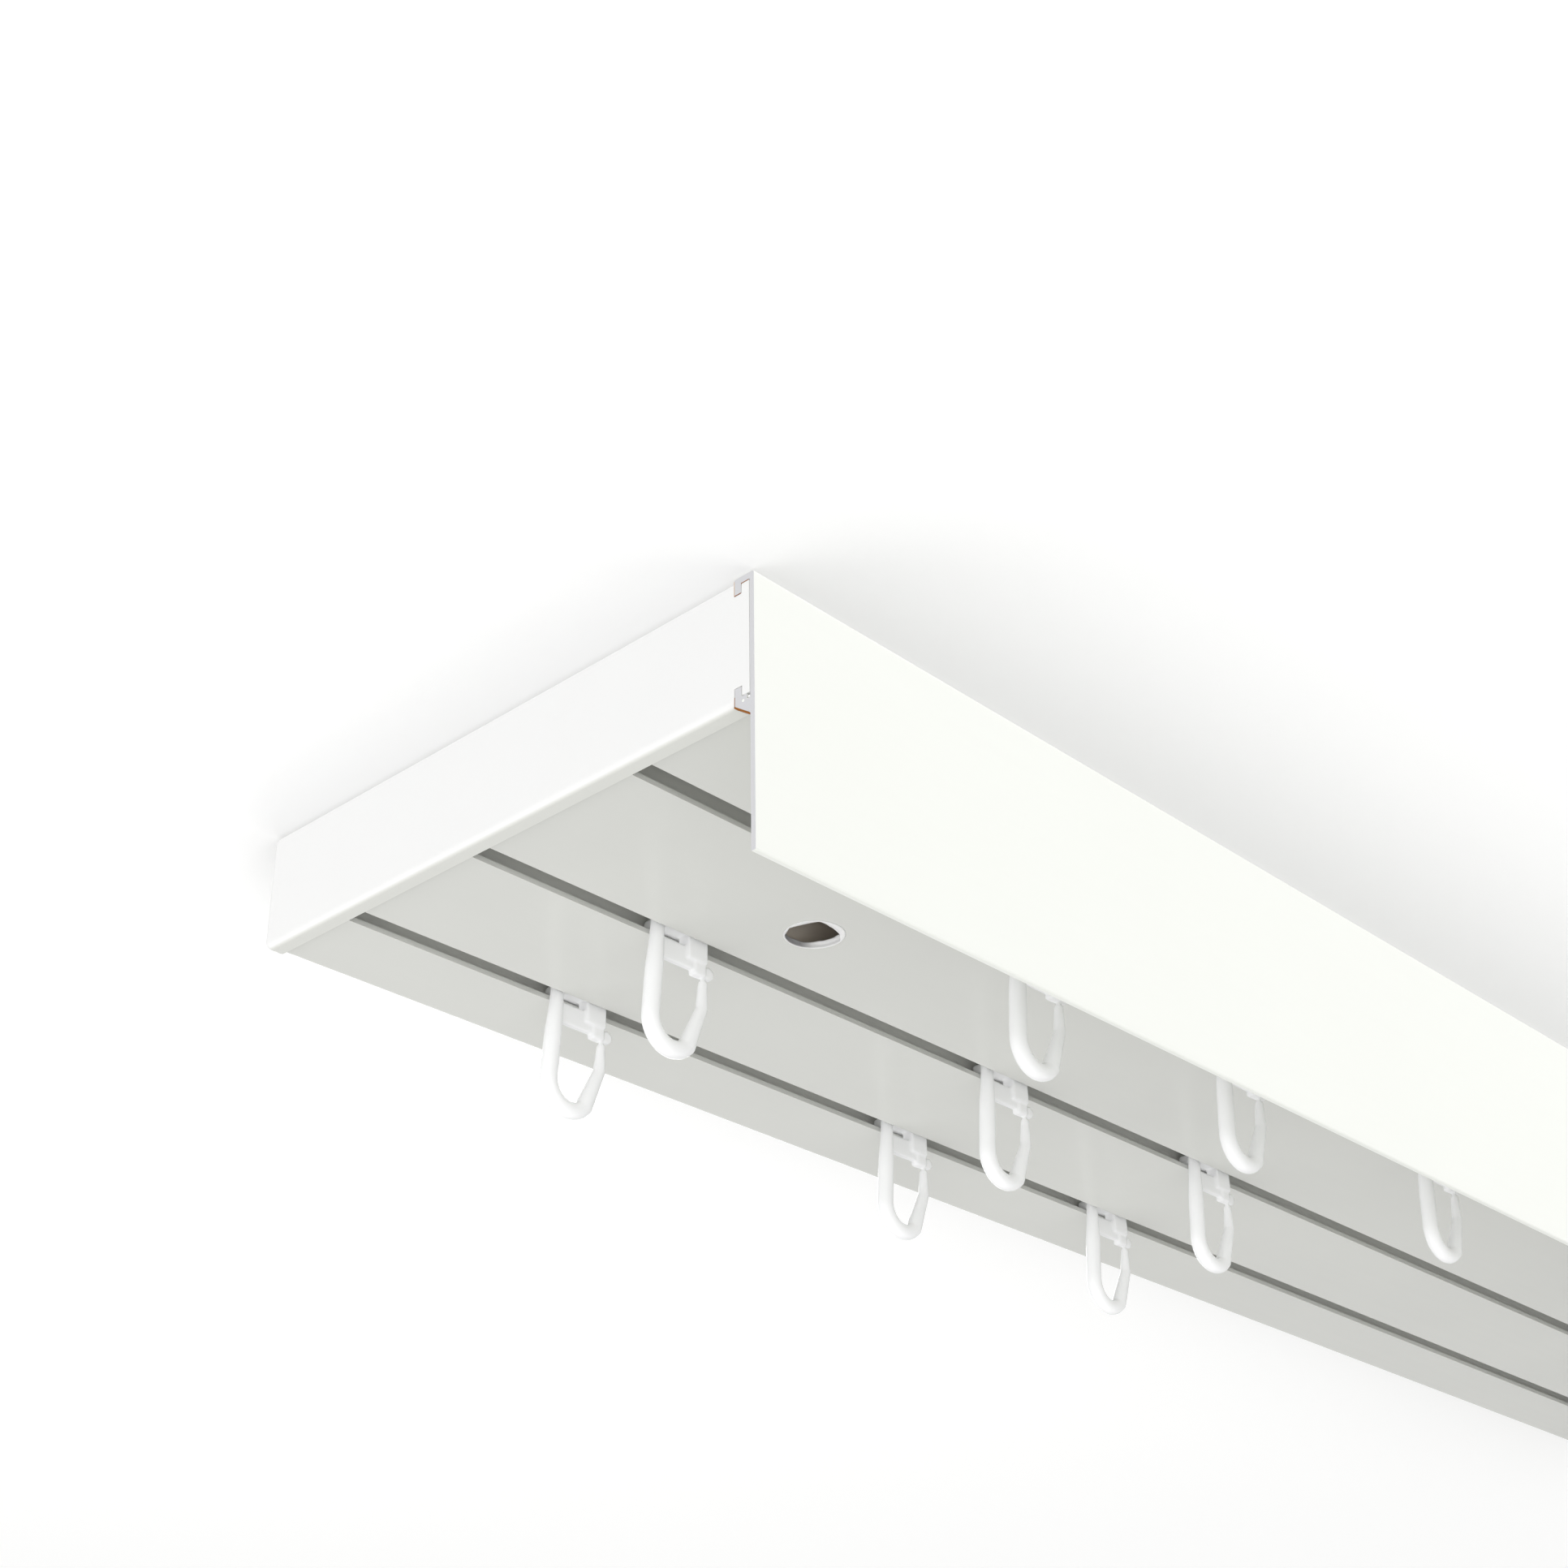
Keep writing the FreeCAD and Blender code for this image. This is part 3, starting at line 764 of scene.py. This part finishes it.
@dataclass(frozen=True)
class AccessHoles:
    """Rims of the holes drilled through the rail's underside, with the edge the drill tore."""

    pitch: float = 464.2
    count: int = 2
    line: float = -13.925
    underside: float = -22.5
    wall: float = 1.0
    radius: float = 5.5
    rim: float = 0.3
    stand: float = 0.1
    crest: tuple[tuple[float, float], ...] = ((0.6, 0.8), (0.2, 1.0))
    skin: float = 0.1
    flare: float = 0.03
    flare_share: float = 0.7
    lip: float = 0.3
    lip_share: float = 0.6
    sunk: float = 0.02
    past: float = 0.05
    upper_lip: float = 0.15
    steps: int = 120
    join_distance: float = 1e-4
    low_teeth: tuple[Tooth, ...] = (
        Tooth(198.0, 32.0, 0.65),
        Tooth(284.0, 50.0, 1.2),
        Tooth(330.0, 12.0, 0.3),
        Tooth(150.0, 14.0, 0.2),
        Tooth(262.0, 6.0, 0.12),
    )
    high_teeth: tuple[Tooth, ...] = (
        Tooth(10.0, 48.0, 0.55),
        Tooth(34.0, 9.0, 0.2),
        Tooth(-14.0, 8.0, 0.15),
        Tooth(84.0, 12.0, 0.15),
    )
    # Side of the bore that gets painted shade, by angle round the hole
    painted_shade_side: Tooth = Tooth(110.0, 62.0, 1.6)

    def section(self) -> list[tuple[float, float, tuple[Tooth, ...]]]:
        """Closed section of the rim: radius, height and the teeth that reach in from there."""
        low, high = self.underside, self.underside + self.wall
        inner, outer = self.radius - self.skin, self.radius + self.past
        return [
            # Raised crest on the underside
            (self.radius + self.rim, low + self.sunk, ()),
            *((self.radius + self.rim * out, low - self.stand * up, ()) for out, up in self.crest),
            # Torn lower lip
            (inner + self.flare, low - self.stand * self.flare_share, self.low_teeth),
            (inner, low + self.past, self.low_teeth),
            (inner, low + self.lip * self.lip_share, self.low_teeth),
            # Bore, up to the torn edge at its top
            (inner + self.sunk, low + self.lip, ()),
            (inner, high - self.upper_lip, ()),
            (inner, high + self.past, self.high_teeth),
            # Back down inside the rail's plastic
            (outer, high + self.past, ()),
            (outer, low + self.sunk, ()),
        ]

    def build_rim(self, number: int, centre: Vector) -> None:
        """Model one rim.

        Args:
            number: The rim's number along the track.
            centre: The hole's centre line.
        """
        # One section spun round the hole's centre line
        shape = bmesh.new()
        section = self.section()
        corners = [shape.verts.new((across, 0.0, up)) for across, up, _ in section]
        teeth = {(round(across, 3), round(up, 3)): row for across, up, row in section}
        edges = [shape.edges.new((corners[k - 1], corners[k])) for k in range(len(corners))]
        bmesh.ops.spin(
            shape, geom=corners + edges, cent=(0, 0, 0), axis=(0, 0, 1), angle=2 * math.pi,
            steps=self.steps, use_merge=True, use_duplicate=False,
        )
        bmesh.ops.remove_doubles(shape, verts=shape.verts, dist=self.join_distance)
        # Teeth reach in from the rings of the section that carry them
        painted_shade = shape.verts.layers.float.new(DrilledPlastic.attribute)
        for corner in shape.verts:
            flat = Vector((corner.co.x, corner.co.y))
            angle = math.degrees(math.atan2(flat.y, flat.x))
            row = teeth[(round(flat.length, 3), round(corner.co.z, 3))]
            depth = sum(tooth.at(angle) for tooth in row)
            # Painted shade: mark the bore's shaded side in the attribute for the grey-violet colour
            if flat.length < self.radius and corner.co.z > self.underside:
                corner[painted_shade] = min(1.0, self.painted_shade_side.at(angle))
            reach = 1.0 - depth / flat.length
            corner.co.x *= reach
            corner.co.y *= reach
        bmesh.ops.translate(shape, vec=centre, verts=shape.verts)
        bmesh.ops.scale(shape, vec=(MM, MM, MM), verts=shape.verts)
        name = f"access_hole_rim_{number}"
        piece = new_piece(name, finished_mesh(name, shape))
        dress(piece, Finish.CUT_EDGE)
        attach(piece, "track")
        LOG.info("%s: %d faces", name, len(piece.data.polygons))

    def build(self) -> None:
        """Model the rim of every access hole."""
        first = -self.pitch * (self.count - 1) / 2
        for number in range(self.count):
            centre = Vector((first + number * self.pitch, self.line, 0.0))
            self.build_rim(number + 1, centre)


@dataclass(frozen=True)
class Strip:
    """A strip of film on the fascia's surface, which is on the left of the way to its end.

    Its ends are points of the fascia's section: depth behind the front face, and height.
    """

    name: str
    start: tuple[float, float]
    end: tuple[float, float]
    thickness: float
    finish: Finish

    def matrix(self, length: float, sink: float) -> Matrix:
        """Placement of a unit cube as the strip, about the fascia's front face and near end.

        Args:
            length: The strip's length along the track.
            sink: How deep it sits in the surface.

        Returns:
            The placement.
        """
        start, end = Vector(self.start), Vector(self.end)
        along = (end - start).normalized()
        outward = Vector((along.y, -along.x))
        middle = (start + end) / 2 + outward * (self.thickness / 2 - sink)
        turn = Matrix.Rotation(math.atan2(along.y, along.x), 3, "X")
        size = Vector((length, (end - start).length, self.thickness))
        return Matrix.LocRotScale(Vector((length / 2, middle.x, middle.y)), turn, size)


@dataclass(frozen=True)
class FilmEdges:
    """Torn edges of protective film at the fascia's near end, and crumbs of swarf in its hook."""

    near_end: float = -300.0
    length: float = 0.9
    sink: float = 0.01
    front_face: float = -64.525
    crumb_diameter: float = 0.56
    crumbs: tuple[tuple[float, float], ...] = ((1.28, -22.82), (2.1, -22.05))
    strips: tuple[Strip, ...] = (
        Strip("flange", (1.15, -1.2), (2.78, -1.2), 0.2, Finish.FILM),
        Strip("lip_back", (4.2, -3.0), (4.2, -0.3), 0.13, Finish.PALE_FILM),
        Strip("lip_edge", (2.85, -3.0), (4.25, -3.0), 0.22, Finish.FILM),
        Strip("hook_back", (4.2, -23.7), (4.2, -21.9), 0.16, Finish.FILM),
        Strip("hook_foot", (1.05, -25.85), (4.3, -23.56), 0.27, Finish.FILM),
    )

    def add(self, name: str, shape: bmesh.types.BMesh, finish: Finish, smooth: bool) -> None:
        """Move a piece to the fascia's near end, scale it to metres and put it in the scene.

        Args:
            name: The piece's name.
            shape: The piece, about the fascia's front face and near end.
            finish: Its finish.
            smooth: Whether its faces are shaded smooth.
        """
        bmesh.ops.translate(shape, vec=(self.near_end, self.front_face, 0.0), verts=shape.verts)
        bmesh.ops.scale(shape, vec=(MM, MM, MM), verts=shape.verts)
        piece = new_piece(name, finished_mesh(name, shape, smooth))
        dress(piece, finish)
        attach(piece, "track")

    def build(self) -> None:
        """Model every strip and crumb."""
        for strip in self.strips:
            shape = bmesh.new()
            bmesh.ops.create_cube(shape, size=1.0, matrix=strip.matrix(self.length, self.sink))
            self.add(f"film_{strip.name}", shape, strip.finish, smooth=False)
        radius = self.crumb_diameter / 2
        for number, (across, up) in enumerate(self.crumbs):
            shape = bmesh.new()
            place = Matrix.Translation((radius, across, up))
            bmesh.ops.create_icosphere(shape, subdivisions=3, radius=radius, matrix=place)
            self.add(f"swarf_crumb_{number + 1}", shape, Finish.CUT_EDGE, smooth=True)
        LOG.info("film: %d strips, %d crumbs", len(self.strips), len(self.crumbs))


@dataclass(frozen=True)
class Extrusions:
    """The rail, the fascia and the end caps, which keep the frame's own shapes."""

    finishes: tuple[tuple[str, Finish], ...] = (
        ("rail", Finish.RAIL),
        ("fascia", Finish.FASCIA),
        ("end_cap_left", Finish.END_CAP),
        ("end_cap_right", Finish.END_CAP),
    )

    def build(self, nodes: dict[str, bpy.types.Object]) -> None:
        """Dress the frame's own pieces.

        Args:
            nodes: The frame's objects by node.
        """
        for node, finish in self.finishes:
            dress(nodes[node], finish)
            LOG.info("%s: %s", node, finish.value.name)


@dataclass(frozen=True)
class Sky:
    """A wide and very distant lamp, as even over the track as light from a bright wall.

    Its way is the direction in which it shines, its spread is its width as seen from the track,
    in degrees, and its level is how bright a white surface that faces it gets, as a share.
    """

    name: str
    way: Triple
    spread: float
    level: float

    def hang(self) -> None:
        """Put the lamp in the scene."""
        light = bpy.data.lights.new(self.name, "SUN")
        light.angle = math.radians(self.spread)
        light.energy = self.level * math.pi
        hang(light, Vector((0.0, 0.0, 0.0)), Vector(self.way))


@dataclass(frozen=True)
class Lamp:
    """A square soft lamp. Its place, its aim and its side are metres, its power is watts."""

    name: str
    place: Triple
    aim: Triple
    side: float
    power: float

    def hang(self) -> None:
        """Put the lamp in the scene."""
        light = bpy.data.lights.new(self.name, "AREA")
        light.size = self.side
        light.energy = self.power
        hang(light, Vector(self.place), Vector(self.aim) - Vector(self.place))


def hang(light: bpy.types.Light, place: Vector, way: Vector) -> None:
    """Put a light in the scene.

    Args:
        light: The light.
        place: Where it stands, in metres.
        way: Direction in which it shines.
    """
    lamp = bpy.data.objects.new(light.name, light)
    turn = way.to_track_quat("-Z", "Y").to_matrix().to_4x4()
    lamp.matrix_world = Matrix.Translation(place) @ turn
    bpy.context.scene.collection.objects.link(lamp)


@dataclass(frozen=True)
class Studio:
    """Pale ceiling and floor, soft lamps, white surroundings and the camera.

    The plates' half width and the floor's height are metres. The lamps are wide light from every
    side and below, a low lamp near the track's left end, and one overhead.
    """

    half_width: float = 40.0
    floor_height: float = -1.3
    floor_tones: tuple[Colour, Colour] = ((0.72, 0.72, 0.71), (0.78, 0.78, 0.77))
    floor_scale: float = 3.0
    floor_drift: float = 0.2
    floor_roughness: float = 0.7
    floor_glow: float = 0.12
    ceiling_gap: float = 0.4
    ceiling_glow: float = 0.255
    shade_reach: float = 0.12
    shade_samples: int = 3
    # Painted shade: ramp from nearby occlusion to the ceiling's colour
    shade: tuple[tuple[float, Colour], ...] = (
        (0.5, (0.56, 0.56, 0.56)),
        (0.75, (0.63, 0.63, 0.63)),
        (0.93, (0.71, 0.71, 0.71)),
        (1.0, (0.93, 0.93, 0.93)),
    )
    surroundings: float = 0.5
    lamps: tuple[Union[Sky, Lamp], ...] = (
        Sky("viewer_side_light", (0.5, 0.78, 0.22), 60.0, 0.57),
        Sky("left_light", (0.9, 0.12, 0.35), 50.0, 0.34),
        Sky("rear_light", (-0.6, -0.72, -0.35), 30.0, 0.2),
        Sky("low_light", (0.3, -0.1, 1.0), 90.0, 0.1),
        Lamp("low_lamp", (-0.5, 0.15, -0.6), (-0.25, 0.0, 0.0), 0.5, 1.05),
        Lamp("overhead_lamp", (0.3, -0.4, 2.0), (0.0, 0.0, -0.03), 2.0, 30.0),
    )
    image: int = 1932
    focal_pixels: float = 3020.8
    sensor: float = 36.0
    clip_near: float = 0.01
    clip_far: float = 50.0
    camera_place: Triple = (-529.25, -285.115, -222.2)
    azimuth: float = -46.88
    elevation: float = -29.93
    roll: float = -0.82

    def plate(self, name: str, height: float, material: bpy.types.Material) -> bpy.types.Object:
        """A wide level plate that isn't part of the track.

        Args:
            name: The plate's name.
            height: Its height in metres.
            material: Its material.

        Returns:
            The plate.
        """
        shape = bmesh.new()
        place = Matrix.Translation((0, 0, height))
        bmesh.ops.create_grid(
            shape, x_segments=1, y_segments=1, size=self.half_width, matrix=place
        )
        mesh = bpy.data.meshes.new(name)
        shape.to_mesh(mesh)
        shape.free()
        plate = new_piece(name, mesh)
        plate.data.materials.append(material)
        return plate

    def floor(self) -> None:
        """Pale floor, far below the track."""
        material = bpy.data.materials.new("studio_floor")
        graph = Graph(material)
        drift = graph.noise(self.floor_scale) * self.floor_drift + 0.5
        inputs = {
            "Base Color": graph.mix(drift, *self.floor_tones),
            "Roughness": self.floor_roughness,
            "Emission Color": WHITE,
            "Emission Strength": graph.seen() * self.floor_glow,
        }
        shader = graph.add("ShaderNodeBsdfPrincipled", {}, inputs)
        graph.add("ShaderNodeOutputMaterial", {}, {"Surface": shader.outputs["BSDF"]})
        self.plate("floor", self.floor_height, material).visible_shadow = False

    def ceiling(self) -> None:
        """White ceiling that shows from below only; round the track it takes the lamps' real
        shadows and a soft painted shade.
        """
        material = bpy.data.materials.new("studio_ceiling")
        graph = Graph(material)
        # Painted shade: nearby geometry darkens the ceiling's base colour through the ramp, a halo
        # round the track
        settings = {"samples": self.shade_samples}
        inputs = {"Distance": self.shade_reach}
        nearby = graph.add("ShaderNodeAmbientOcclusion", settings, inputs)
        inputs = {"Fac": nearby.outputs["AO"]}
        shade = graph.add("ShaderNodeValToRGB", {"stops": self.shade}, inputs)
        inputs = {
            "Base Color": shade.outputs["Color"],
            "Roughness": 1.0,
            "Specular IOR Level": 0.0,
            "Emission Color": WHITE,
            "Emission Strength": self.ceiling_glow,
        }
        lit = graph.add("ShaderNodeBsdfPrincipled", {}, inputs)
        clear = graph.add("ShaderNodeBsdfTransparent", {}, {})
        facing = graph.add("ShaderNodeNewGeometry", {}, {})
        inputs = {0: facing.outputs["Backfacing"], 1: clear.outputs[0], 2: lit.outputs[0]}
        shader = graph.add("ShaderNodeMixShader", {}, inputs)
        graph.add("ShaderNodeOutputMaterial", {}, {"Surface": shader.outputs[0]})
        # Only the camera sees the plate, so it neither lights the track nor shows in it
        plate = self.plate("ceiling", self.ceiling_gap * MM, material)
        plate.visible_shadow = False
        plate.visible_diffuse = False
        plate.visible_glossy = False
        plate.visible_transmission = False

    def world(self) -> None:
        """White to the camera and in reflections, and a soft level light on the track."""
        world = bpy.data.worlds.new("studio")
        bpy.context.scene.world = world
        graph = Graph(world)
        strength = graph.seen() * (1.0 - self.surroundings) + self.surroundings
        inputs = {"Color": WHITE, "Strength": strength}
        shader = graph.add("ShaderNodeBackground", {}, inputs)
        graph.add("ShaderNodeOutputWorld", {}, {"Surface": shader.outputs[0]})

    def camera(self) -> None:
        """Camera where the photograph was taken from."""
        turn, tilt = math.radians(self.azimuth), math.radians(self.elevation)
        level = math.cos(tilt)
        back = Vector((math.sin(turn) * level, -math.cos(turn) * level, math.sin(tilt)))
        right = (-back).cross(Vector((0.0, 0.0, 1.0))).normalized()
        up = right.cross(-back)
        upright = Matrix((right, up, back)).transposed()
        rolled = upright @ Matrix.Rotation(math.radians(self.roll), 3, "Z")
        data = bpy.data.cameras.new("camera")
        data.sensor_width = self.sensor
        data.lens = self.focal_pixels / self.image * self.sensor
        data.clip_start = self.clip_near
        data.clip_end = self.clip_far
        camera = bpy.data.objects.new("camera", data)
        place = Matrix.Translation(Vector(self.camera_place) * MM)
        camera.matrix_world = place @ rolled.to_4x4()
        bpy.context.scene.collection.objects.link(camera)
        bpy.context.scene.camera = camera

    def build(self) -> None:
        """Set up the whole studio."""
        self.floor()
        self.ceiling()
        self.world()
        for lamp in self.lamps:
            lamp.hang()
        self.camera()
        bpy.context.scene.view_settings.view_transform = "Standard"


def main() -> None:
    """Load the frame, build and dress every piece, and set up the studio."""
    logging.basicConfig(level=logging.INFO, format="%(message)s")
    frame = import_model()
    nodes = frame["nodes"]
    Extrusions().build(nodes)
    Glider().build(sorted(node for node in nodes if "glider" in node))
    AccessHoles().build()
    FilmEdges().build()
    Studio().build()


if __name__ == "__main__":
    main()
